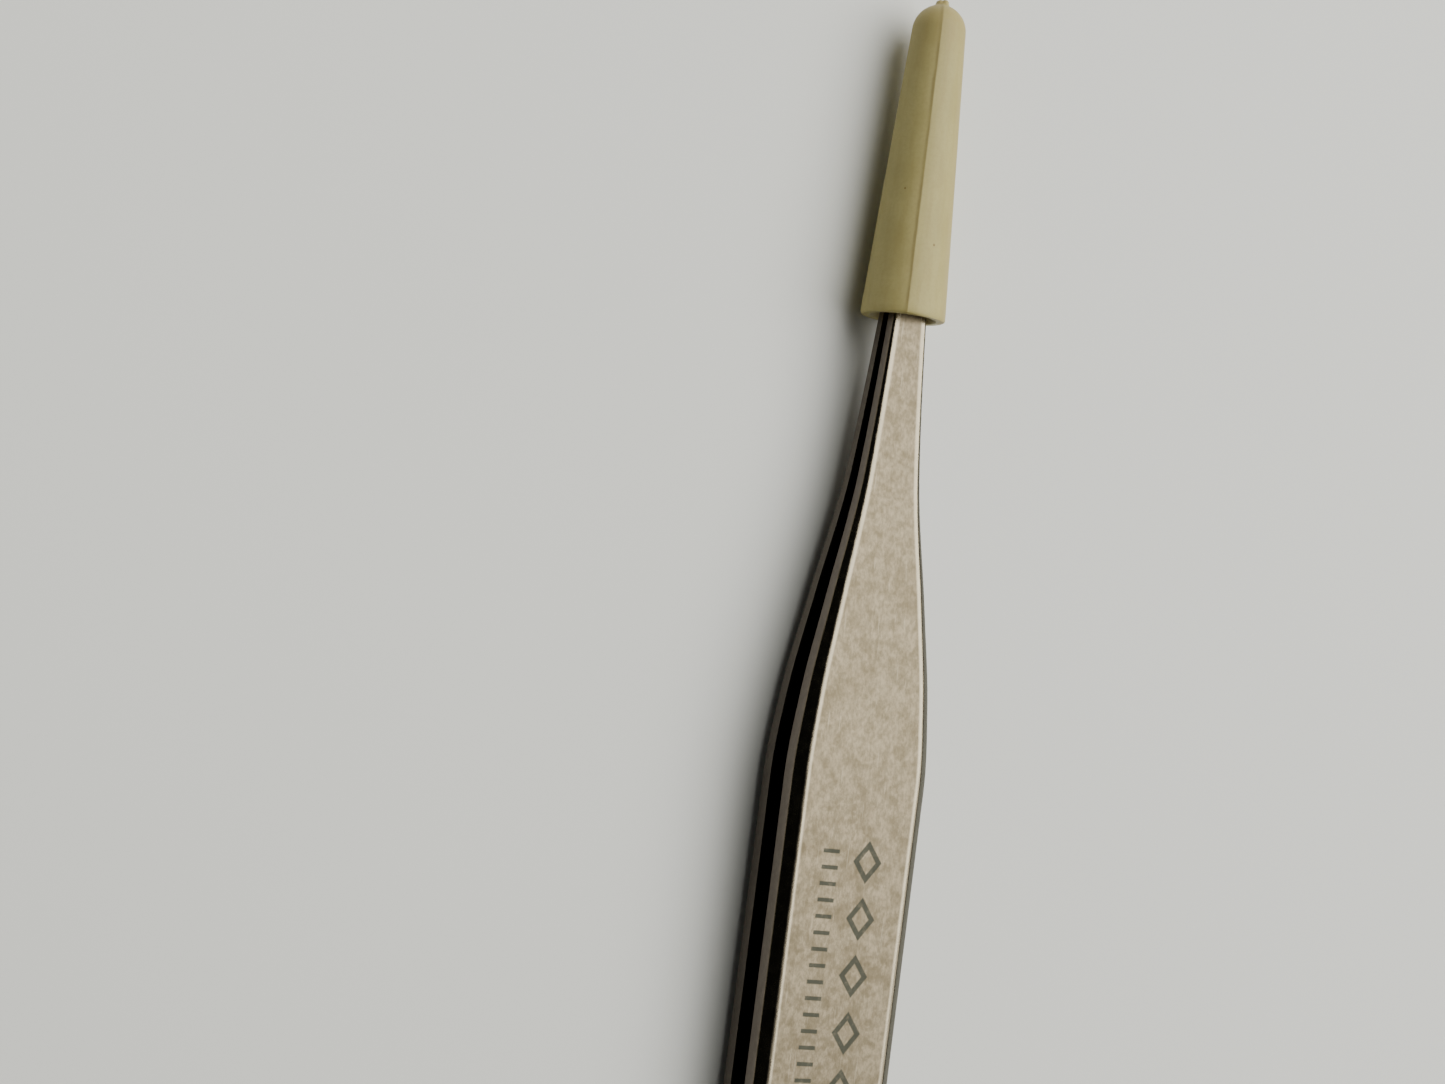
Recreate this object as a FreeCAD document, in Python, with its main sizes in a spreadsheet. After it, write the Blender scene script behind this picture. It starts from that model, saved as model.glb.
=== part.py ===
"""Watchmaker's tweezers with a moulded cap over the closed tips.

Millimetres. +Y runs from the heel to the tips, +Z is up, and the origin is at the middle of the
underside. Each leaf is built about its own tip and the plane between the two leaves, then placed.
The upper leaf is one piece of steel: it is cut at its flexure into a fixed heel and a moving blade.
"""
import FreeCAD, Part
import math
import os
import Sketcher

doc = FreeCAD.newDocument("tip_capped_tweezers")

SIZES = {
    "leaf_length": 125.0,
    "leaf_width": 9.45,
    "leaf_thickness": 1.55,
    "leaf_gap": 1.7,
    "bevel_width": 0.7,
    "bevel_depth": 0.5,
    "heel_length": 12.0,
    "flexure_slit": 0.02,
    "spacer_front_inset": 0.3,
    "spacer_rear_inset": 1.6,
    "spacer_front_width": 7.0,
    "spacer_rear_width": 6.2,
    "cap_length": 20.0,
    "cap_end_radius": 1.72,
    "cap_mouth_radius": 2.71,
    "cap_wall": 0.7,
    "cap_end_wall": 3.2,
    "cap_bore_end_radius": 0.62,
    "cap_overhang": 4.0,
    "nub_radius": 0.45,
    "nub_height": 0.35,
    "nub_root": 0.3,
}

sheet = doc.addObject("Spreadsheet::Sheet", "sizes")
for row, (alias, value) in enumerate(SIZES.items(), start=1):
    sheet.set(f"A{row}", alias)
    sheet.set(f"B{row}", str(value))
    sheet.setAlias(f"B{row}", alias)
doc.recompute()

# Places shared by several pieces, as expressions of the sheet.
TOTAL_LENGTH = "(sizes.leaf_length + sizes.cap_overhang + sizes.nub_height)"
TIP_Y = f"({TOTAL_LENGTH} / 2 - sizes.nub_height - sizes.cap_overhang)"
CAP_END_Y = f"({TOTAL_LENGTH} / 2 - sizes.nub_height)"
MID_PLANE_Z = "sizes.cap_mouth_radius"
FLEXURE = "(sizes.leaf_length - sizes.heel_length)"

# Distance behind the tip, then width, thickness and gap as shares of the full leaf.
TAPER = [
    ("0", 0.0535, 0.23, 0.024),
    ("12", 0.2015, 0.45, 0.26),
    ("26", 0.425, 0.645, 0.53),
    ("34", 0.71, 0.81, 0.80),
    ("40", 0.92, 0.93, 0.94),
    ("45", 1.0, 1.0, 1.0),
    ("80", 1.0, 1.0, 1.0),
]
HEEL_END = [
    ("sizes.leaf_length - 2", 0.77, 1.0, 1.0),
    ("sizes.leaf_length", 0.62, 1.0, 1.0),
]
FLEXURE_WIDTH = 0.86
FLEXURE_REAR = (f"{FLEXURE} + sizes.flexure_slit", FLEXURE_WIDTH, 1.0, 1.0)
FLEXURE_FRONT = (FLEXURE, FLEXURE_WIDTH, 1.0, 1.0)


def origin_plane(body, role):
    """The body's own origin plane with this role."""
    return next(plane for plane in body.Origin.OriginFeatures if plane.Role == role)


def new_sketch(body, name, role):
    sketch = body.newObject("Sketcher::SketchObject", name)
    sketch.AttachmentSupport = [(origin_plane(body, role), "")]
    sketch.MapMode = "FlatFace"
    return sketch


def bind(sketch, kind, *places, to):
    """Add a dimension at its true value and tie it to an expression of the sheet."""
    value = float(sketch.evalExpression(to))
    index = sketch.addConstraint(Sketcher.Constraint(kind, *places, value))
    sketch.setExpression(f"Constraints[{index}]", to)


def closed_outline(sketch, points):
    """Lines through the points, joined end to end and numbered from 0."""
    corners = [FreeCAD.Vector(x, y, 0) for x, y in points]
    for index, corner in enumerate(corners):
        following = corners[(index + 1) % len(corners)]
        sketch.addGeometry(Part.LineSegment(corner, following), False)
    for index in range(len(corners)):
        following = (index + 1) % len(corners)
        sketch.addConstraint(Sketcher.Constraint("Coincident", index, 2, following, 1))


def leaf_section(body, name, station):
    """One cross section of a leaf: flat inside, bevelled along both outer edges."""
    distance, width, thickness, gap = station
    sketch = new_sketch(body, name, "XZ_Plane")
    sketch.setExpression("AttachmentOffset.Base.z", distance)
    scale = min(width, thickness)
    half = SIZES["leaf_width"] * width / 2
    inside = SIZES["leaf_gap"] * gap / 2
    outside = inside + SIZES["leaf_thickness"] * thickness
    face = half - SIZES["bevel_width"] * scale
    shoulder = outside - SIZES["bevel_depth"] * scale
    closed_outline(sketch, [
        (-half, inside), (half, inside), (half, shoulder),
        (face, outside), (-face, outside), (-half, shoulder),
    ])
    half_text = f"sizes.leaf_width * {width} / 2"
    inside_text = f"sizes.leaf_gap * {gap} / 2"
    outside_text = f"{inside_text} + sizes.leaf_thickness * {thickness}"
    face_text = f"{half_text} - sizes.bevel_width * {scale}"
    shoulder_text = f"{outside_text} - sizes.bevel_depth * {scale}"
    for corner, across, up in [
        (0, f"-({half_text})", inside_text),
        (1, half_text, inside_text),
        (2, half_text, shoulder_text),
        (3, face_text, outside_text),
        (4, f"-({face_text})", outside_text),
        (5, f"-({half_text})", shoulder_text),
    ]:
        bind(sketch, "DistanceX", -1, 1, corner, 1, to=across)
        bind(sketch, "DistanceY", -1, 1, corner, 1, to=up)
    return sketch


def make_leaf(name, stations, turned_over=False):
    """A leaf, or a stretch of one, lofted straight from section to section."""
    body = doc.addObject("PartDesign::Body", name)
    sketches = [
        leaf_section(body, f"{name}_section_{index}", station)
        for index, station in enumerate(stations)
    ]
    doc.recompute()
    loft = body.newObject("PartDesign::AdditiveLoft", f"{name}_loft")
    loft.Profile = sketches[0]
    loft.Sections = sketches[1:]
    loft.Ruled = True
    if turned_over:
        body.Placement = FreeCAD.Placement(
            FreeCAD.Vector(), FreeCAD.Rotation(FreeCAD.Vector(0, 1, 0), 180))
    body.setExpression("Placement.Base.y", TIP_Y)
    body.setExpression("Placement.Base.z", MID_PLANE_Z)
    return body


def make_spacer():
    """The plate between the leaves at the heel, narrowing towards the end as they do."""
    body = doc.addObject("PartDesign::Body", "heel_spacer")
    sketch = new_sketch(body, "heel_spacer_outline", "XY_Plane")
    front = -(SIZES["leaf_length"] - SIZES["heel_length"] + SIZES["spacer_front_inset"])
    rear = -(SIZES["leaf_length"] - SIZES["spacer_rear_inset"])
    wide = SIZES["spacer_front_width"] / 2
    narrow = SIZES["spacer_rear_width"] / 2
    closed_outline(sketch, [(-wide, front), (wide, front), (narrow, rear), (-narrow, rear)])
    front_text = f"-({FLEXURE} + sizes.spacer_front_inset)"
    rear_text = "-(sizes.leaf_length - sizes.spacer_rear_inset)"
    for corner, across, along in [
        (0, "-sizes.spacer_front_width / 2", front_text),
        (1, "sizes.spacer_front_width / 2", front_text),
        (2, "sizes.spacer_rear_width / 2", rear_text),
        (3, "-sizes.spacer_rear_width / 2", rear_text),
    ]:
        bind(sketch, "DistanceX", -1, 1, corner, 1, to=across)
        bind(sketch, "DistanceY", -1, 1, corner, 1, to=along)
    pad = body.newObject("PartDesign::Pad", "heel_spacer_pad")
    pad.Profile = sketch
    pad.Midplane = True
    pad.setExpression("Length", "sizes.leaf_gap")
    body.setExpression("Placement.Base.y", TIP_Y)
    body.setExpression("Placement.Base.z", MID_PLANE_Z)
    return body


def make_cap():
    """A tapered moulded tube with a domed, closed end that keeps its gate nub."""
    body = doc.addObject("PartDesign::Body", "tip_cap")
    sketch = new_sketch(body, "tip_cap_profile", "XY_Plane")
    end = SIZES["cap_end_radius"]
    mouth = SIZES["cap_mouth_radius"]
    length = SIZES["cap_length"]
    dome = Part.Circle(FreeCAD.Vector(0, -end, 0), FreeCAD.Vector(0, 0, 1), end)
    corners = [
        (end, -end), (mouth, -length), (mouth - SIZES["cap_wall"], -length),
        (SIZES["cap_bore_end_radius"], -SIZES["cap_end_wall"]), (0, -SIZES["cap_end_wall"]), (0, 0),
    ]
    sketch.addGeometry(Part.ArcOfCircle(dome, 0, math.pi / 2), False)
    for start, finish in zip(corners, corners[1:]):
        line = Part.LineSegment(FreeCAD.Vector(*start, 0), FreeCAD.Vector(*finish, 0))
        sketch.addGeometry(line, False)
    arc, side, rim, bore, floor, axis = range(6)
    for first, second in [(side, rim), (rim, bore), (bore, floor), (floor, axis)]:
        sketch.addConstraint(Sketcher.Constraint("Coincident", first, 2, second, 1))
    sketch.addConstraint(Sketcher.Constraint("Coincident", axis, 2, arc, 2))
    sketch.addConstraint(Sketcher.Constraint("Coincident", arc, 2, -1, 1))
    sketch.addConstraint(Sketcher.Constraint("PointOnObject", arc, 3, -2))
    sketch.addConstraint(Sketcher.Constraint("Tangent", arc, 1, side, 1))
    sketch.addConstraint(Sketcher.Constraint("Horizontal", rim))
    sketch.addConstraint(Sketcher.Constraint("Horizontal", floor))
    sketch.addConstraint(Sketcher.Constraint("Vertical", axis))
    bind(sketch, "Radius", arc, to="sizes.cap_end_radius")
    bind(sketch, "DistanceX", -1, 1, side, 2, to="sizes.cap_mouth_radius")
    bind(sketch, "DistanceY", side, 2, -1, 1, to="sizes.cap_length")
    bind(sketch, "DistanceX", -1, 1, bore, 1, to="sizes.cap_mouth_radius - sizes.cap_wall")
    bind(sketch, "DistanceX", -1, 1, bore, 2, to="sizes.cap_bore_end_radius")
    bind(sketch, "DistanceY", bore, 2, -1, 1, to="sizes.cap_end_wall")
    doc.recompute()
    shell = body.newObject("PartDesign::Revolution", "tip_cap_shell")
    shell.Profile = sketch
    shell.ReferenceAxis = (sketch, ["V_Axis"])
    shell.Angle = 360
    doc.recompute()
    nub = body.newObject("PartDesign::AdditiveCylinder", "tip_cap_nub")
    nub.setExpression("Radius", "sizes.nub_radius")
    nub.setExpression("Height", "sizes.nub_height + sizes.nub_root")
    nub.Placement = FreeCAD.Placement(
        FreeCAD.Vector(0, -SIZES["nub_root"], 0), FreeCAD.Rotation(FreeCAD.Vector(1, 0, 0), -90))
    nub.setExpression("Placement.Base.y", "-sizes.nub_root")
    body.setExpression("Placement.Base.y", CAP_END_Y)
    body.setExpression("Placement.Base.z", MID_PLANE_Z)
    return body


bodies = [
    make_leaf("lower_leaf", TAPER + [FLEXURE_FRONT] + HEEL_END, turned_over=True),
    make_leaf("upper_leaf_blade", TAPER + [FLEXURE_FRONT]),
    make_leaf("upper_leaf_heel", [FLEXURE_REAR] + HEEL_END),
    make_spacer(),
    make_cap(),
]
doc.recompute()

for item in doc.Objects:
    if "Invalid" in item.State or "Error" in item.State:
        raise RuntimeError(f"{item.Label} failed: {item.State}")
for body in bodies:
    shape = body.Shape
    if shape.isNull() or not shape.isValid() or len(shape.Solids) != 1:
        raise RuntimeError(f"{body.Label} is not one valid solid")

os.makedirs("parts", exist_ok=True)
for body in bodies:
    box = body.Shape.BoundBox
    body.Shape.exportStep(f"parts/{body.Label}.step")
    print(f"{body.Label}: {body.Shape.Volume:.2f} mm3, x {box.XMin:.2f} {box.XMax:.2f}, "
          f"y {box.YMin:.2f} {box.YMax:.2f}, z {box.ZMin:.2f} {box.ZMax:.2f}")
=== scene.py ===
"""Watchmaker's tweezers under a moulded tip cap: visible pieces, materials, light and camera.

Sizes are in millimetres in the tables here and are turned into metres where meshes are made.
"""
import math

import bmesh
import bpy
from mathutils import Matrix, Vector


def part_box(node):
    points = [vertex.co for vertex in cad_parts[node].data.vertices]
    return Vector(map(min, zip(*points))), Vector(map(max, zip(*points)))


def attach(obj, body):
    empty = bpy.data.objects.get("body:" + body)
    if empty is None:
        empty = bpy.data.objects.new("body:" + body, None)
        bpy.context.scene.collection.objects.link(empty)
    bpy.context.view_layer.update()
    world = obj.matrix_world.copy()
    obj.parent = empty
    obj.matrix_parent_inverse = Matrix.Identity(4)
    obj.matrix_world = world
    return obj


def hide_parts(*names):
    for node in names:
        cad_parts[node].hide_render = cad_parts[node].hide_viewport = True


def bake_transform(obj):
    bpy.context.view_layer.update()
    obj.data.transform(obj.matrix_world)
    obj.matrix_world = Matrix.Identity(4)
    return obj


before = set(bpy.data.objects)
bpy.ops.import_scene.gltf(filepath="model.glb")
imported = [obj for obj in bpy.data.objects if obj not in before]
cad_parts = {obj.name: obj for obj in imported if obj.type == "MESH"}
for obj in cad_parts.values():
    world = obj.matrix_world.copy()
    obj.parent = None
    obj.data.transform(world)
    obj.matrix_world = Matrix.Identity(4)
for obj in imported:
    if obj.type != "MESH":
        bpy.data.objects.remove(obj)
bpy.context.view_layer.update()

MM = 0.001
HEEL_LOW, HEEL_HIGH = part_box("upper_leaf_heel")
BLADE_LOW, BLADE_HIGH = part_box("upper_leaf_blade")
LOWER_LOW, LOWER_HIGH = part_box("lower_leaf")
CAP_LOW, CAP_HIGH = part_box("tip_cap")

TIP_Y = BLADE_HIGH[1] / MM
HEEL_Y = HEEL_LOW[1] / MM
LEAF_LENGTH = TIP_Y - HEEL_Y
LEAF_HALF_WIDTH = BLADE_HIGH[0] / MM
LEAF_THICKNESS = (HEEL_HIGH[2] - HEEL_LOW[2]) / MM
MID_Z = (CAP_LOW[2] + CAP_HIGH[2]) / 2 / MM
HALF_GAP = HEEL_LOW[2] / MM - MID_Z
CAP_MOUTH_Y = CAP_LOW[1] / MM
CAP_TOP_Y = CAP_HIGH[1] / MM
CAP_MOUTH_RADIUS = CAP_HIGH[0] / MM


# ---------------------------------------------------------------- curves

def smooth(low, high, value):
    """0 below low, 1 above high, eased between."""
    share = min(1.0, max(0.0, (value - low) / (high - low)))
    return share * share * (3 - 2 * share)


def through(points, value):
    """A smooth curve through (place, height) points that never overshoots them."""
    if value <= points[0][0]:
        return points[0][1]
    if value >= points[-1][0]:
        return points[-1][1]
    slopes = [
        (after[1] - before[1]) / (after[0] - before[0])
        for before, after in zip(points, points[1:])
    ]
    bends = [slopes[0]]
    for before, after in zip(slopes, slopes[1:]):
        level = before * after <= 0
        bends.append(0.0 if level else 2 * before * after / (before + after))
    bends.append(slopes[-1])
    index = next(i for i in range(len(slopes)) if value <= points[i + 1][0])
    start, finish = points[index], points[index + 1]
    span = finish[0] - start[0]
    along = (value - start[0]) / span
    return (
        (2 * along**3 - 3 * along**2 + 1) * start[1]
        + (along**3 - 2 * along**2 + along) * span * bends[index]
        + (-2 * along**3 + 3 * along**2) * finish[1]
        + (along**3 - along**2) * span * bends[index + 1]
    )


HEEL_LENGTH = 12

# Distance behind the tip against the share of the full leaf: the CAD leaf's shares, or a hair inside them.
WIDTH = [(0, 0.0535), (12, 0.2015), (26, 0.425), (34, 0.71), (40, 0.915), (45, 1.0), (80, 1.0),
         (LEAF_LENGTH - HEEL_LENGTH, 0.855), (LEAF_LENGTH - 2, 0.765), (LEAF_LENGTH, 0.615)]
THICKNESS = [(0, 0.225), (12, 0.445), (26, 0.64), (34, 0.805), (40, 0.925), (45, 1.0),
             (LEAF_LENGTH, 1.0)]
GAP = [(0, 0.03), (12, 0.265), (26, 0.535), (34, 0.81), (40, 0.95), (45, 1.0), (LEAF_LENGTH, 1.0)]


# ---------------------------------------------------------------- mesh helpers

SHARP_ANGLE = math.radians(40)


def mesh_object(name, build):
    """A smooth-shaded object from a function that fills a bmesh, with its rest places as UVs."""
    work = bmesh.new()
    build(work)
    bmesh.ops.recalc_face_normals(work, faces=work.faces)
    rest = work.loops.layers.uv.new("rest")
    for face in work.faces:
        face.smooth = True
        for loop in face.loops:
            loop[rest].uv = (loop.vert.co.x / MM, loop.vert.co.y / MM)
    mesh = bpy.data.meshes.new(name)
    work.to_mesh(mesh)
    work.free()
    mesh.set_sharp_from_angle(angle=SHARP_ANGLE)
    piece = bpy.data.objects.new(name, mesh)
    bpy.context.collection.objects.link(piece)
    return piece


def skin(work, rings, worn_and_highlit=(), gap_shade_points=()):
    """Quads from ring to ring, closed at both ends.

    Points listed for the edges count as worn edges, lightened also as a painted highlight; points listed
    for the inside get painted shade, for the dark gap between the two leaves.
    """
    edge = work.verts.layers.float.new("edge")
    cut = work.verts.layers.float.new("leaf_gap_shade")
    made = [[work.verts.new(Vector(point) * MM) for point in ring] for ring in rings]
    for lower, upper in zip(made, made[1:]):
        for index in range(len(lower)):
            after = (index + 1) % len(lower)
            work.faces.new((lower[index], lower[after], upper[after], upper[index]))
    work.faces.new(list(reversed(made[0])))
    work.faces.new(made[-1])
    for ring in made:
        for index in worn_and_highlit:
            ring[index][edge] = 1.0
        for index in gap_shade_points:
            ring[index][cut] = 1.0


# ---------------------------------------------------------------- leaves

BEVEL_WIDTH = 0.7
BEVEL_DEPTH = 0.5
BEVEL_ROUND = 0.13
FACE_ROUND = BEVEL_ROUND * 1.6
BEVEL_STEPS = 5
FACE_STEPS = 10
# How far in from the rounding the face's next points stand, so that its shading stays flat.
FACE_HOLD = 0.12
EDGE_BREAK = 0.04


def rounded_corner(before, corner, after, radius, steps):
    """Points that round off one corner between its two neighbours."""
    before, corner, after = Vector(before), Vector(corner), Vector(after)
    start = corner + (before - corner).normalized() * min(radius, 0.45 * (before - corner).length)
    finish = corner + (after - corner).normalized() * min(radius, 0.45 * (after - corner).length)
    points = []
    for step in range(steps + 1):
        share = step / steps
        point = start * (1 - share) ** 2 + corner * 2 * share * (1 - share) + finish * share**2
        points.append((point.x, point.y))
    return points


def leaf_ring(distance):
    """A leaf's section: flat faces, rounded bevels outside and a broken edge inside."""
    half = LEAF_HALF_WIDTH * through(WIDTH, distance)
    thick = LEAF_THICKNESS * through(THICKNESS, distance)
    inside = HALF_GAP * through(GAP, distance)
    outside = inside + thick
    scale = min(through(WIDTH, distance), through(THICKNESS, distance))
    shoulder = outside - BEVEL_DEPTH * scale
    face = half - BEVEL_WIDTH * scale
    edge = min(EDGE_BREAK, 0.15 * thick, 0.2 * half)
    flank_top = (half, shoulder)
    face_edge = (face, outside)
    flank_middle = (half, (inside + shoulder) / 2)
    right = [(half - edge, inside), (half, inside + edge), flank_middle]
    right += rounded_corner(flank_middle, flank_top, face_edge, BEVEL_ROUND, BEVEL_STEPS)
    right += rounded_corner(flank_top, face_edge, (0, outside), FACE_ROUND, BEVEL_STEPS)
    top = right[-1][0]
    held = top - min(FACE_HOLD, 0.3 * top)
    across = [held * (1 - 2 * step / (FACE_STEPS - 2)) for step in range(FACE_STEPS - 1)]
    left = [(-x, z) for x, z in reversed(right)]
    below = right[0][0]
    under = [(-below * (1 - 2 * step / FACE_STEPS), inside) for step in range(1, FACE_STEPS)]
    return right + [(x, outside) for x in across] + left + under


def face_edge_points():
    """Numbers of the points in a leaf's section that round the face into its bevels: worn edges, made
    lighter also as a painted highlight.
    """
    flank = 3 + BEVEL_STEPS + 1
    right = list(range(flank + 1, flank + BEVEL_STEPS + 1))
    last_left = 2 * (flank + BEVEL_STEPS + 1) + FACE_STEPS - 2
    return right + [last_left - index for index in right]


def inner_points(count):
    """Numbers of the points on a leaf's inner face, which runs round the section's start; these points
    carry painted shade.
    """
    under = FACE_STEPS - 1
    return [0] + list(range(count - under - 1, count))


def leaf_distances():
    """Stations along a leaf, 1 mm apart and closer together at the tip and the heel."""
    stops = [0, 0.15, 0.4, 0.8, 1.5]
    stops += [2 + step for step in range(int(LEAF_LENGTH) - 6)]
    stops += [LEAF_LENGTH - back for back in (3.5, 2.8, 2.0, 1.4, 0.9, 0.5, 0.2, 0.0)]
    return sorted(stops)


def build_leaf(side):
    """side is 1 for the upper leaf and -1 for the lower one."""
    def build(work):
        rings = [
            [(x, TIP_Y - distance, MID_Z + side * z) for x, z in leaf_ring(distance)]
            for distance in leaf_distances()
        ]
        skin(work, rings, worn_and_highlit=face_edge_points(), gap_shade_points=inner_points(len(rings[0])))
    return build


# ---------------------------------------------------------------- tip cap

CAP_SEGMENTS = 96
CAP_END_RADIUS = 1.70
CAP_TAPER_ANGLE = math.radians(3.1)
CAP_TAPER = math.tan(CAP_TAPER_ANGLE)
CAP_WALL = 0.7
CAP_FLOOR = 3.2
BORE_END_RADIUS = 0.62
BORE_CHAMFER_WIDTH = 0.10
BORE_CHAMFER_DEPTH = 0.12
RIM_CLEARANCE = 0.02
RIM_ROUND = 0.16
NUB_RADIUS = 0.42
NUB_HEIGHT = 0.35
SEAM_HEIGHT = 0.010
SEAM_WIDTH = 0.09
RIDGE = 0.06
BORE_STEPS = 24
OUTER_STEPS = 60
DOME_STEPS = 16
CAP_END_Y = CAP_TOP_Y - NUB_HEIGHT
CAP_LENGTH = CAP_END_Y - CAP_MOUTH_Y
# The round cap sits turned about its axis, so that its seam leans to the tool's left.
CAP_TURN = math.radians(25)


def cap_radius(distance):
    """The outside radius at a distance behind the domed end."""
    tangent = CAP_END_RADIUS * (1 - math.sin(CAP_TAPER_ANGLE))
    if distance < tangent:
        return math.sqrt(max(0.0, CAP_END_RADIUS**2 - (CAP_END_RADIUS - distance) ** 2))
    return CAP_END_RADIUS * math.cos(CAP_TAPER_ANGLE) + CAP_TAPER * (distance - tangent)


def round_the_axis(size, y, angle):
    """The point at a distance from the cap's axis, its angle counted from the seam."""
    return (size * math.sin(angle - CAP_TURN), y, MID_Z + size * math.cos(angle - CAP_TURN))


def cap_point(radius, distance, angle, outside):
    """A point of the cap. Outside, the cap narrows between the seam and the sides, and has a seam line."""
    across, up = math.sin(angle), math.cos(angle)
    size = radius
    if outside:
        size *= 1 - RIDGE * abs(across) ** 0.8 * abs(up)
        seam = math.exp(-((across * radius) / SEAM_WIDTH) ** 2)
        size += SEAM_HEIGHT * seam * smooth(0.3, 2, distance)
    return round_the_axis(size, CAP_END_Y - distance, angle)


def nub_ring(radius, height):
    """The torn gate: a stub pinched in the plane of the seam, so that it shows two lobes."""
    ring = []
    for angle in cap_angles():
        pinch = math.exp(-((math.sin(angle) / 0.4) ** 2))
        size = radius * (1 - 0.3 * pinch * smooth(0, 0.1, height))
        drop = 0.06 * smooth(0.1, 0.3, height) * (pinch + max(0.0, -math.sin(angle)))
        ring.append(round_the_axis(size, CAP_END_Y + height - drop, angle))
    return ring


def cap_angles():
    """Angles round the cap, crowded towards the two seams where its shape is finest."""
    steps = CAP_SEGMENTS // 4
    quarter = [math.pi / 2 * (step / steps) ** 1.6 for step in range(steps)]
    first_half = quarter + [math.pi / 2] + [math.pi - angle for angle in reversed(quarter[1:])]
    return first_half + [angle + math.pi for angle in first_half]


def cap_ring(radius, distance, outside):
    return [cap_point(radius, distance, angle, outside) for angle in cap_angles()]


def bore_rings():
    """The bore, from its closed end out to the chamfer at its mouth."""
    mouth = CAP_MOUTH_RADIUS - CAP_WALL
    rings = []
    for step in range(BORE_STEPS + 1):
        distance = CAP_FLOOR + (CAP_LENGTH - BORE_CHAMFER_DEPTH - CAP_FLOOR) * step / BORE_STEPS
        share = (distance - CAP_FLOOR) / (CAP_LENGTH - CAP_FLOOR)
        rings.append(cap_ring(BORE_END_RADIUS + share * (mouth - BORE_END_RADIUS), distance, False))
    return rings + [cap_ring(mouth + BORE_CHAMFER_WIDTH, CAP_LENGTH, False)]


def outer_rings():
    """The rim, the tapered side and the dome, up to the foot of the nub."""
    limit = CAP_MOUTH_RADIUS - RIM_CLEARANCE - SEAM_HEIGHT
    rings = [
        cap_ring(limit - 0.14, CAP_LENGTH, False),
        cap_ring(limit - 0.04, CAP_LENGTH - 0.05, True),
    ]
    start = CAP_LENGTH - RIM_ROUND
    for step in range(OUTER_STEPS):
        distance = start - (start - CAP_END_RADIUS) * step / OUTER_STEPS
        rings.append(cap_ring(min(limit, cap_radius(distance)), distance, True))
    for step in range(DOME_STEPS):
        distance = CAP_END_RADIUS * (1 - math.sin(math.pi / 2 * step / DOME_STEPS))
        if cap_radius(distance) > NUB_RADIUS + 0.1:
            rings.append(cap_ring(cap_radius(distance), distance, True))
    return rings


def nub_rings():
    """The nub, from its foot in the dome to its torn top."""
    sizes = [
        (NUB_RADIUS + 0.04, -0.03), (NUB_RADIUS, 0.08), (NUB_RADIUS - 0.03, 0.24),
        (NUB_RADIUS - 0.12, NUB_HEIGHT - 0.03), (0.16, NUB_HEIGHT - 0.005),
    ]
    return [nub_ring(radius, height) for radius, height in sizes]


def build_cap(work):
    skin(work, bore_rings() + outer_rings() + nub_rings())


# ---------------------------------------------------------------- spacer

SPACER_REAR_SHARE = 6.2 / 7.0
SPACER_EDGE = 0.06
SPACER_INSET = 0.05
SPACER_STEPS = 12


def build_spacer(work):
    """A plate that widens forwards, with its long edges and its ends broken."""
    low, high = [Vector(corner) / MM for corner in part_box("heel_spacer")]
    rings = []
    for step in range(SPACER_STEPS + 1):
        share = step / SPACER_STEPS
        end = SPACER_EDGE if step in (0, SPACER_STEPS) else 0.0
        half = high.x * (SPACER_REAR_SHARE + (1 - SPACER_REAR_SHARE) * share) - SPACER_INSET - end
        right = [
            (half - SPACER_EDGE, low.z), (half, low.z + SPACER_EDGE),
            (half, high.z - SPACER_EDGE), (half - SPACER_EDGE, high.z),
        ]
        left = [(-x, z) for x, z in reversed(right)]
        y = low.y + (high.y - low.y) * share
        rings.append([(x, y, z) for x, z in right + left])
    skin(work, rings)


# ---------------------------------------------------------------- materials

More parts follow.
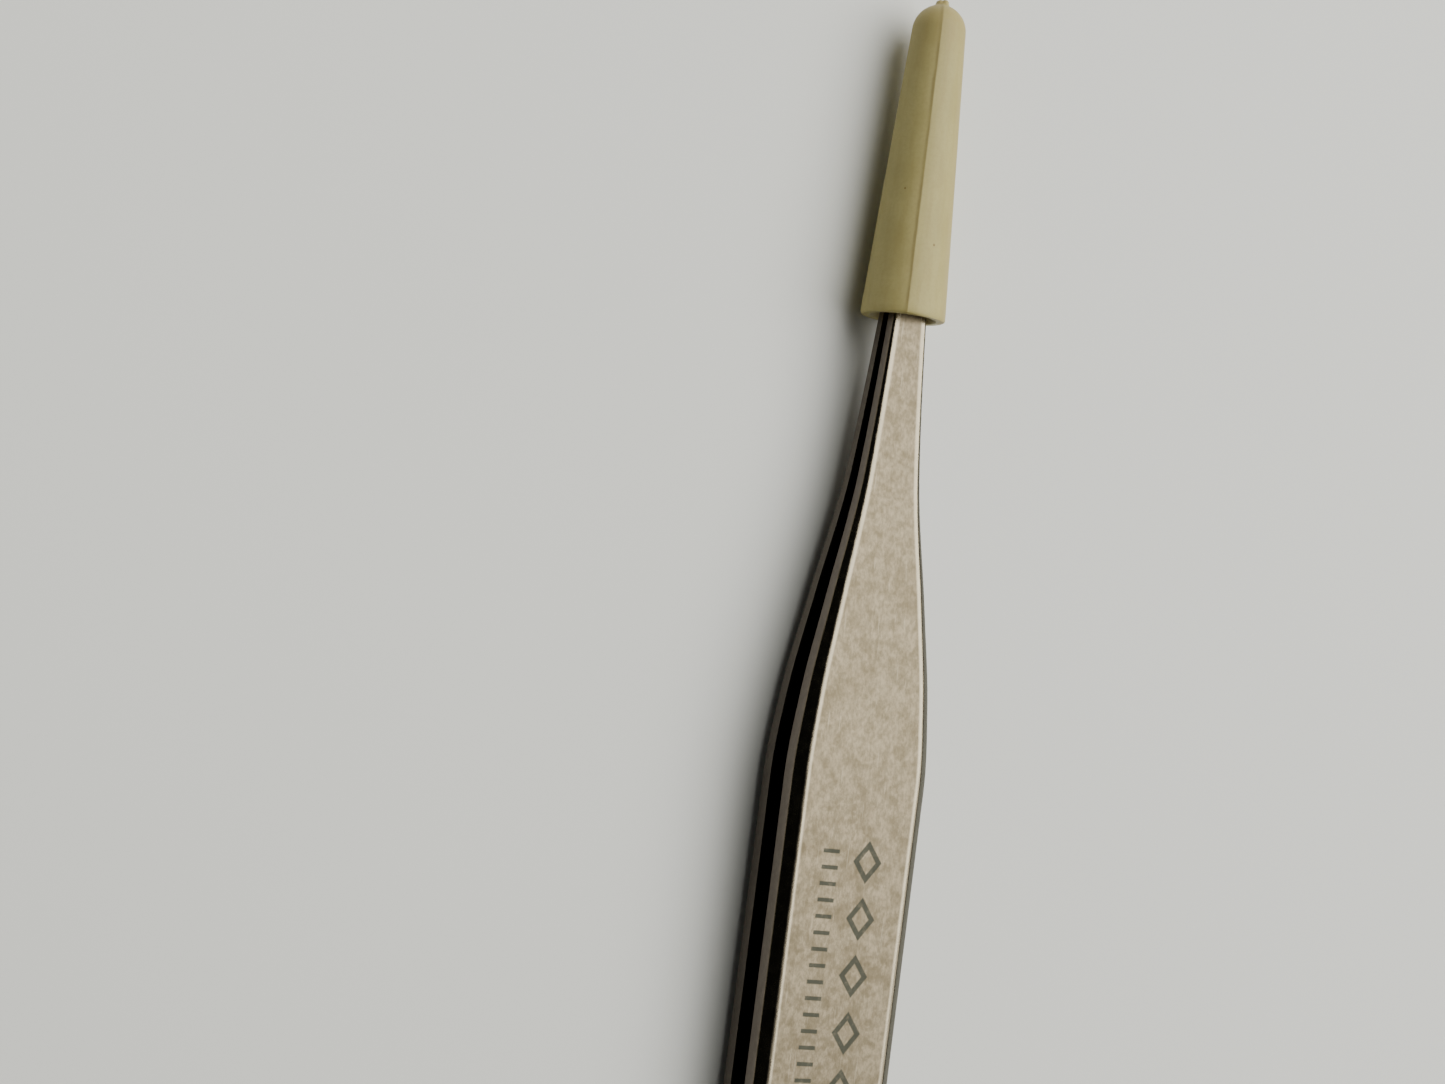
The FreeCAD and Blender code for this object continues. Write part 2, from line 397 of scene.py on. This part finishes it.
class Nodes:
    """A short way to write a node material."""

    def __init__(self, name):
        self.material = bpy.data.materials.new(name)
        self.material.use_nodes = True
        self.tree = self.material.node_tree
        self.shader = self.tree.nodes["Principled BSDF"]

    def node(self, kind, inputs=None, **settings):
        made = self.tree.nodes.new(kind)
        for key, value in settings.items():
            setattr(made, key, value)
        for key, value in (inputs or {}).items():
            self.feed(made, key, value)
        return made

    def feed(self, node, key, value):
        socket = node.inputs[key]
        if isinstance(value, bpy.types.NodeSocket):
            self.tree.links.new(value, socket)
        else:
            socket.default_value = value

    def maths(self, operation, first, second=0.0, third=None, clamp=False):
        made = self.node("ShaderNodeMath", operation=operation, use_clamp=clamp)
        self.feed(made, 0, first)
        self.feed(made, 1, second)
        if third is not None:
            self.feed(made, 2, third)
        return made.outputs[0]

    def mix(self, share, first, second, blend="MIX"):
        made = self.node("ShaderNodeMix", data_type="RGBA", blend_type=blend)
        self.feed(made, 0, share)
        self.feed(made, 6, first)
        self.feed(made, 7, second)
        return made.outputs[2]

    def ramp(self, value, low, high, first=0.0, second=1.0):
        made = self.node("ShaderNodeMapRange", inputs={0: value, 1: low, 2: high, 3: first, 4: second},
                         interpolation_type="SMOOTHSTEP")
        return made.outputs[0]

    def noise(self, place, scale, detail=3.0, roughness=0.5):
        made = self.node("ShaderNodeTexNoise", inputs={"Scale": scale, "Detail": detail,
                                                       "Roughness": roughness})
        self.tree.links.new(place, made.inputs["Vector"])
        return made.outputs["Fac"]

    def stretched(self, place, scale):
        made = self.node("ShaderNodeMapping", inputs={"Scale": scale})
        self.tree.links.new(place, made.inputs["Vector"])
        return made.outputs["Vector"]

    def object_place(self):
        return self.node("ShaderNodeTexCoord").outputs["Object"]

    def split(self, vector):
        """The X, Y and Z outputs of a vector."""
        return self.node("ShaderNodeSeparateXYZ", inputs={0: vector}).outputs

    def tint(self, base, mask, strength, tone):
        """base, turned towards tone by strength where the mask is 1."""
        return self.mix(self.maths("MULTIPLY", mask, strength), base, tone)

    def bump(self, strength, depth, height, over=None):
        inputs = {"Strength": strength, "Distance": depth, "Height": height}
        if over is not None:
            inputs["Normal"] = over
        return self.node("ShaderNodeBump", inputs=inputs).outputs[0]


def colour(red, green, blue):
    """A colour given as it appears on screen, turned into the light values that shaders use."""
    def linear(value):
        value /= 255
        return value / 12.92 if value <= 0.04045 else ((value + 0.055) / 1.055) ** 2.4
    return (linear(red), linear(green), linear(blue), 1.0)


MARKS_REAR = 80.0
MARKS_FRONT = 48.5
LOZENGE_PITCH = 3.5
LOZENGE_X = 1.0
LOZENGE_HALF_LENGTH = 1.25
LOZENGE_HALF_WIDTH = 0.95
TICK_PITCH = 1.0
TICK_X = -1.6


def etched_marks(nodes, x, y):
    """A made-up ornament: a row of lozenges along the leaf and a line of short ticks beside it."""
    after_rear = nodes.maths("GREATER_THAN", y, TIP_Y - MARKS_REAR)
    before_front = nodes.maths("LESS_THAN", y, TIP_Y - MARKS_FRONT)
    window = nodes.maths("MULTIPLY", after_rear, before_front)
    along = nodes.maths("PINGPONG", y, LOZENGE_PITCH / 2)
    across = nodes.maths("ABSOLUTE", nodes.maths("SUBTRACT", x, LOZENGE_X))
    lozenge = nodes.maths("ADD", nodes.maths("DIVIDE", along, LOZENGE_HALF_LENGTH),
                          nodes.maths("DIVIDE", across, LOZENGE_HALF_WIDTH))
    row = nodes.maths("SUBTRACT", nodes.ramp(lozenge, 1.10, 1.02), nodes.ramp(lozenge, 0.66, 0.58))
    tick = nodes.ramp(nodes.maths("PINGPONG", y, TICK_PITCH / 2), 0.15, 0.10)
    reach = nodes.maths("ABSOLUTE", nodes.maths("SUBTRACT", x, TICK_X))
    ticks = nodes.maths("MULTIPLY", tick, nodes.ramp(reach, 0.60, 0.54))
    return nodes.maths("MULTIPLY", nodes.maths("MAXIMUM", row, ticks), window)


def worn_marks(nodes, place):
    """The ornament, only on faces that look up, and worn thin in places."""
    x, y, _ = nodes.split(nodes.node("ShaderNodeUVMap", uv_map="rest").outputs["UV"])
    facing = nodes.split(nodes.node("ShaderNodeNewGeometry").outputs["Normal"])
    marks = etched_marks(nodes, x, y)
    marks = nodes.maths("MULTIPLY", marks, nodes.maths("GREATER_THAN", facing[2], 0.8))
    worn = nodes.ramp(nodes.noise(place, 2600, 3, 0.6), 0.2, 0.5, 0.6, 0.95)
    return nodes.maths("MULTIPLY", marks, worn)


def steel_zones(nodes):
    """Masks for a leaf's upright flanks and its bevels, from how far each face looks sideways; both are
    used for painted shade.
    """
    normal = nodes.split(nodes.node("ShaderNodeNewGeometry").outputs["True Normal"])
    slope = nodes.maths("ABSOLUTE", normal[0])
    flank = nodes.ramp(slope, 0.85, 0.97)
    bevel = nodes.maths("SUBTRACT", nodes.ramp(slope, 0.3, 0.5), nodes.ramp(slope, 0.72, 0.9))
    return flank, bevel


def satin_steel(name, marked):
    """Worn satin stainless: mottled grain, faint scratches, worn edges lightened also as a painted
    highlight, and painted shade on the flanks, the bevels and the inner faces.
    """
    nodes = Nodes(name)
    place = nodes.object_place()
    fine = nodes.noise(nodes.stretched(place, (1, 0.55, 1)), 5200, 4, 0.62)
    cloud = nodes.noise(place, 1300, 4, 0.6)
    stain = nodes.noise(place, 330, 4, 0.6)
    scratch = nodes.noise(nodes.stretched(place, (1, 0.035, 1)), 6500, 2, 0.5)
    edge = nodes.node("ShaderNodeAttribute", attribute_name="edge").outputs["Fac"]
    leaf_gap_shade = nodes.node("ShaderNodeAttribute", attribute_name="leaf_gap_shade").outputs["Fac"]
    flank, bevel = steel_zones(nodes)
    base = nodes.mix(nodes.ramp(fine, 0.32, 0.7), colour(99, 91, 74), colour(119, 109, 90))
    base = nodes.tint(base, nodes.ramp(cloud, 0.42, 0.66), 0.45, colour(85, 77, 58))
    base = nodes.tint(base, nodes.ramp(stain, 0.5, 0.7), 0.35, colour(84, 75, 57))
    base = nodes.tint(base, nodes.ramp(scratch, 0.66, 0.74), 0.35, colour(142, 133, 115))
    # Worn edges, made lighter too as a painted highlight along the face's rounded edges.
    base = nodes.tint(base, edge, 0.8, colour(150, 141, 121))
    # Painted shade: the upright flanks are tinted a dull grey-violet, for the shaded table they mirror.
    base = nodes.tint(base, flank, 0.6, colour(108, 99, 96))
    # Painted shade: the bevels are darkened to the dark green-grey they mirror.
    base = nodes.tint(base, bevel, 0.85, colour(78, 75, 60))
    # Painted shade: the leaves' inner faces go near black, for the dark gap between the two leaves.
    base = nodes.tint(base, leaf_gap_shade, 0.9, colour(46, 43, 40))
    rough = nodes.ramp(cloud, 0.25, 0.75, 0.30, 0.40)
    rough = nodes.maths("SUBTRACT", rough, nodes.maths("MULTIPLY", edge, 0.1))
    rough = nodes.maths("SUBTRACT", rough, nodes.maths("MULTIPLY", bevel, 0.1))
    metal = 1.0
    if marked:
        marks = worn_marks(nodes, place)
        base = nodes.mix(marks, base, colour(62, 63, 48))
        rough = nodes.maths("ADD", rough, nodes.maths("MULTIPLY", marks, 0.25))
        metal = nodes.maths("SUBTRACT", 1.0, nodes.maths("MULTIPLY", marks, 0.6))
    grain = nodes.bump(0.22, 0.00002, fine)
    nodes.feed(nodes.shader, "Base Color", base)
    nodes.feed(nodes.shader, "Metallic", metal)
    nodes.feed(nodes.shader, "Roughness", rough)
    nodes.feed(nodes.shader, "Normal", nodes.bump(0.18, 0.00003, scratch, grain))
    return nodes.material


def spacer_steel():
    """The same steel left as cut: rougher, with upright grind lines and grime."""
    nodes = Nodes("spacer_steel")
    place = nodes.object_place()
    grind = nodes.noise(nodes.stretched(place, (1, 1, 0.06)), 5200, 3, 0.55)
    grime = nodes.noise(place, 420, 4, 0.6)
    base = nodes.mix(nodes.ramp(grind, 0.35, 0.7), colour(118, 112, 104), colour(152, 146, 136))
    base = nodes.tint(base, nodes.ramp(grime, 0.5, 0.7), 0.5, colour(70, 64, 55))
    nodes.feed(nodes.shader, "Base Color", base)
    nodes.feed(nodes.shader, "Metallic", 1.0)
    nodes.feed(nodes.shader, "Roughness", nodes.ramp(grime, 0.3, 0.7, 0.42, 0.6))
    nodes.feed(nodes.shader, "Normal", nodes.bump(0.3, 0.00003, grind))
    return nodes.material


# Small inclusions in the moulding: distance behind the domed end, degrees from the seam, and radius.
SPECKS = [(12.2, -28, 0.085), (15.5, 30, 0.11)]


def seam_dirt(nodes, place, across, mottle):
    """A mask along the seam, which wanders a little and is patchy."""
    wander = nodes.noise(nodes.stretched(place, (0, 1, 0)), 420, 2, 0.5)
    wander = nodes.maths("MULTIPLY_ADD", wander, 0.2 * MM, -0.03 * MM)
    from_seam = nodes.maths("ABSOLUTE", nodes.maths("ADD", across, wander))
    dirt = nodes.ramp(from_seam, 0.2 * MM, 0.0)
    return nodes.maths("MULTIPLY", dirt, nodes.ramp(mottle, 0.3, 0.65, 0.25, 0.65))


def speck(nodes, place, behind_end, degrees, size):
    """A mask for one small inclusion."""
    gap = nodes.node("ShaderNodeVectorMath", operation="DISTANCE")
    nodes.feed(gap, 0, place)
    centre = cap_point(cap_radius(behind_end), behind_end, math.radians(degrees), True)
    nodes.feed(gap, 1, Vector(centre) * MM)
    return nodes.ramp(gap.outputs["Value"], size * MM, size * MM * 0.5)


def ivory_plastic():
    """Aged moulded plastic: yellowed, faintly mottled, handled darker towards the domed end, with painted
    shade along its right edge.
    """
    nodes = Nodes("ivory_plastic")
    place = nodes.object_place()
    turned = nodes.node("ShaderNodeVectorRotate", rotation_type="Y_AXIS", inputs={
        "Vector": place, "Center": (0, 0, MID_Z * MM), "Angle": CAP_TURN})
    across, along, _ = nodes.split(turned.outputs["Vector"])
    mottle = nodes.noise(place, 480, 4, 0.55)
    flow = nodes.noise(nodes.stretched(place, (1, 0.12, 1)), 2400, 3, 0.55)
    grain = nodes.noise(place, 5200, 3, 0.55)
    base = nodes.mix(nodes.ramp(mottle, 0.35, 0.68), colour(172, 161, 105), colour(179, 168, 112))
    base = nodes.tint(base, nodes.ramp(flow, 0.42, 0.7), 0.35, colour(162, 147, 92))
    base = nodes.tint(base, nodes.ramp(grain, 0.4, 0.7), 0.3, colour(162, 149, 96))
    handled = nodes.ramp(along, (CAP_END_Y - 5) * MM, CAP_END_Y * MM, 0.0, 0.4)
    base = nodes.mix(handled, base, colour(162, 144, 92))
    # Painted shade: darker and warmer towards the cap's right edge.
    from_end = nodes.maths("SUBTRACT", CAP_END_Y * MM, along)
    reach = nodes.maths("MULTIPLY_ADD", from_end, CAP_TAPER, CAP_END_RADIUS * MM)
    side = nodes.ramp(nodes.maths("DIVIDE", across, reach), 0.68, 1.0, 0.0, 0.4)
    base = nodes.mix(side, base, colour(158, 138, 84))
    base = nodes.mix(seam_dirt(nodes, place, across, mottle), base, colour(128, 114, 74))
    for behind_end, degrees, size in SPECKS:
        base = nodes.tint(base, speck(nodes, place, behind_end, degrees, size), 0.7, colour(116, 92, 54))
    nodes.feed(nodes.shader, "Base Color", base)
    nodes.feed(nodes.shader, "Roughness", nodes.ramp(mottle, 0.3, 0.7, 0.42, 0.55))
    nodes.feed(nodes.shader, "Specular IOR Level", 0.22)
    nodes.feed(nodes.shader, "Subsurface Weight", 0.12)
    nodes.feed(nodes.shader, "Subsurface Radius", (0.0012, 0.0009, 0.0005))
    nodes.feed(nodes.shader, "Subsurface Scale", 1.0)
    nodes.feed(nodes.shader, "Normal", nodes.bump(0.12, 0.00004, flow, nodes.bump(0.15, 0.00003, grain)))
    return nodes.material


def bench():
    """A plain pale table top, with hardly any cloudiness."""
    nodes = Nodes("bench")
    cloud = nodes.noise(nodes.object_place(), 18, 4, 0.5)
    nodes.feed(nodes.shader, "Base Color", nodes.mix(cloud, colour(219, 220, 213), colour(225, 226, 219)))
    nodes.feed(nodes.shader, "Roughness", 0.55)
    return nodes.material


# ---------------------------------------------------------------- pieces

marked_steel = satin_steel("satin_steel_marked", True)
plain_steel = satin_steel("satin_steel_plain", False)

upper = mesh_object("upper_leaf", build_leaf(1))
upper.data.materials.append(marked_steel)
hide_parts("upper_leaf_heel", "upper_leaf_blade")
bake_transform(upper)

lower = mesh_object("lower_leaf_steel", build_leaf(-1))
lower.data.materials.append(plain_steel)
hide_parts("lower_leaf")
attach(lower, "base")

spacer = mesh_object("heel_plate", build_spacer)
spacer.data.materials.append(spacer_steel())
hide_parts("heel_spacer")
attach(spacer, "base")

cap = mesh_object("moulded_cap", build_cap)
cap.data.materials.append(ivory_plastic())
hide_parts("tip_cap")
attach(cap, "cap")


# ---------------------------------------------------------------- stage, light and camera

FLOOR_REACH = 3.0


def floor():
    mesh = bpy.data.meshes.new("bench_top")
    corners = [(x * FLOOR_REACH, y * FLOOR_REACH, 0) for x, y in ((-1, -1), (1, -1), (1, 1), (-1, 1))]
    mesh.from_pydata(corners, [], [(0, 1, 2, 3)])
    plane = bpy.data.objects.new("bench_top", mesh)
    bpy.context.collection.objects.link(plane)
    plane.data.materials.append(bench())


def area_light(name, place, aim, size, power, tint=(1, 1, 1)):
    lamp = bpy.data.lights.new(name, "AREA")
    lamp.shape = "RECTANGLE"
    lamp.size, lamp.size_y = size
    lamp.energy = power
    lamp.color = tint
    holder = bpy.data.objects.new(name, lamp)
    holder.location = place
    holder.rotation_euler = (Vector(aim) - Vector(place)).to_track_quat("-Z", "Y").to_euler()
    bpy.context.collection.objects.link(holder)


floor()
# The key stands high, ahead of the tool and to its right. The other two panels are much fainter.
area_light("window", (0.315, 0.29, 0.61), (0, 0.02, 0), (0.98, 0.75), 10.8, (1.0, 0.995, 0.975))
area_light("ceiling", (0.44, -0.04, 0.76), (0, 0, 0), (0.8, 1.1), 0.9, (1.0, 0.97, 0.91))
area_light("wall", (0.62, -0.10, 0.36), (0, 0, 0), (0.6, 0.5), 1.3, (1.0, 0.98, 0.94))


ROOM_LIGHT = 0.022
WALL_LIGHT = 0.3
ROOM_TINT = (0.86, 0.88, 0.92, 1)
WALL_FULL_BELOW = 0.25
WALL_GONE_ABOVE = 0.65


def room():
    """A dim room, a little paler low down ahead of the tool and behind it, as walls would be."""
    world = bpy.data.worlds.new("room")
    world.use_nodes = True
    tree = world.node_tree
    towards = tree.nodes.new("ShaderNodeSeparateXYZ")
    tree.links.new(tree.nodes.new("ShaderNodeTexCoord").outputs["Generated"], towards.inputs[0])
    low = tree.nodes.new("ShaderNodeMapRange")
    low.interpolation_type = "SMOOTHSTEP"
    for index, value in ((1, WALL_GONE_ABOVE), (2, WALL_FULL_BELOW), (3, 0.0), (4, WALL_LIGHT)):
        low.inputs[index].default_value = value
    tree.links.new(towards.outputs[2], low.inputs[0])
    facing = tree.nodes.new("ShaderNodeMath")
    facing.operation = "MULTIPLY"
    tree.links.new(towards.outputs[1], facing.inputs[0])
    tree.links.new(towards.outputs[1], facing.inputs[1])
    strength = tree.nodes.new("ShaderNodeMath")
    strength.operation = "MULTIPLY_ADD"
    tree.links.new(low.outputs[0], strength.inputs[0])
    tree.links.new(facing.outputs[0], strength.inputs[1])
    strength.inputs[2].default_value = ROOM_LIGHT
    background = tree.nodes["Background"]
    background.inputs[0].default_value = ROOM_TINT
    tree.links.new(strength.outputs[0], background.inputs[1])
    bpy.context.scene.world = world


room()

# The view: leaning over to the tool's left, its tips turned a little to the right.
LEAN = math.radians(26.6)
PITCH = math.radians(2.6)
ROLL = math.radians(7.4)
DISTANCE = 0.155
AIM = Vector((-0.00887, 0.02891, -0.00054))
SENSOR = 36.0
LENS = 62.3
NEAREST = 0.005


def camera():
    side = Vector((math.cos(LEAN), 0, math.sin(LEAN)))
    back = Vector((-math.sin(LEAN), 0, math.cos(LEAN)))
    ahead = Vector((0, 1, 0))
    up = math.cos(PITCH) * ahead + math.sin(PITCH) * back
    away = math.cos(PITCH) * back - math.sin(PITCH) * ahead
    right = math.cos(ROLL) * side + math.sin(ROLL) * up
    top = math.cos(ROLL) * up - math.sin(ROLL) * side
    lens = bpy.data.cameras.new("camera")
    lens.sensor_width = SENSOR
    lens.lens = LENS
    lens.clip_start = NEAREST
    holder = bpy.data.objects.new("camera", lens)
    turn = Matrix((right, top, away)).transposed()
    holder.matrix_world = Matrix.Translation(AIM + DISTANCE * away) @ turn.to_4x4()
    bpy.context.collection.objects.link(holder)
    bpy.context.scene.camera = holder


camera()
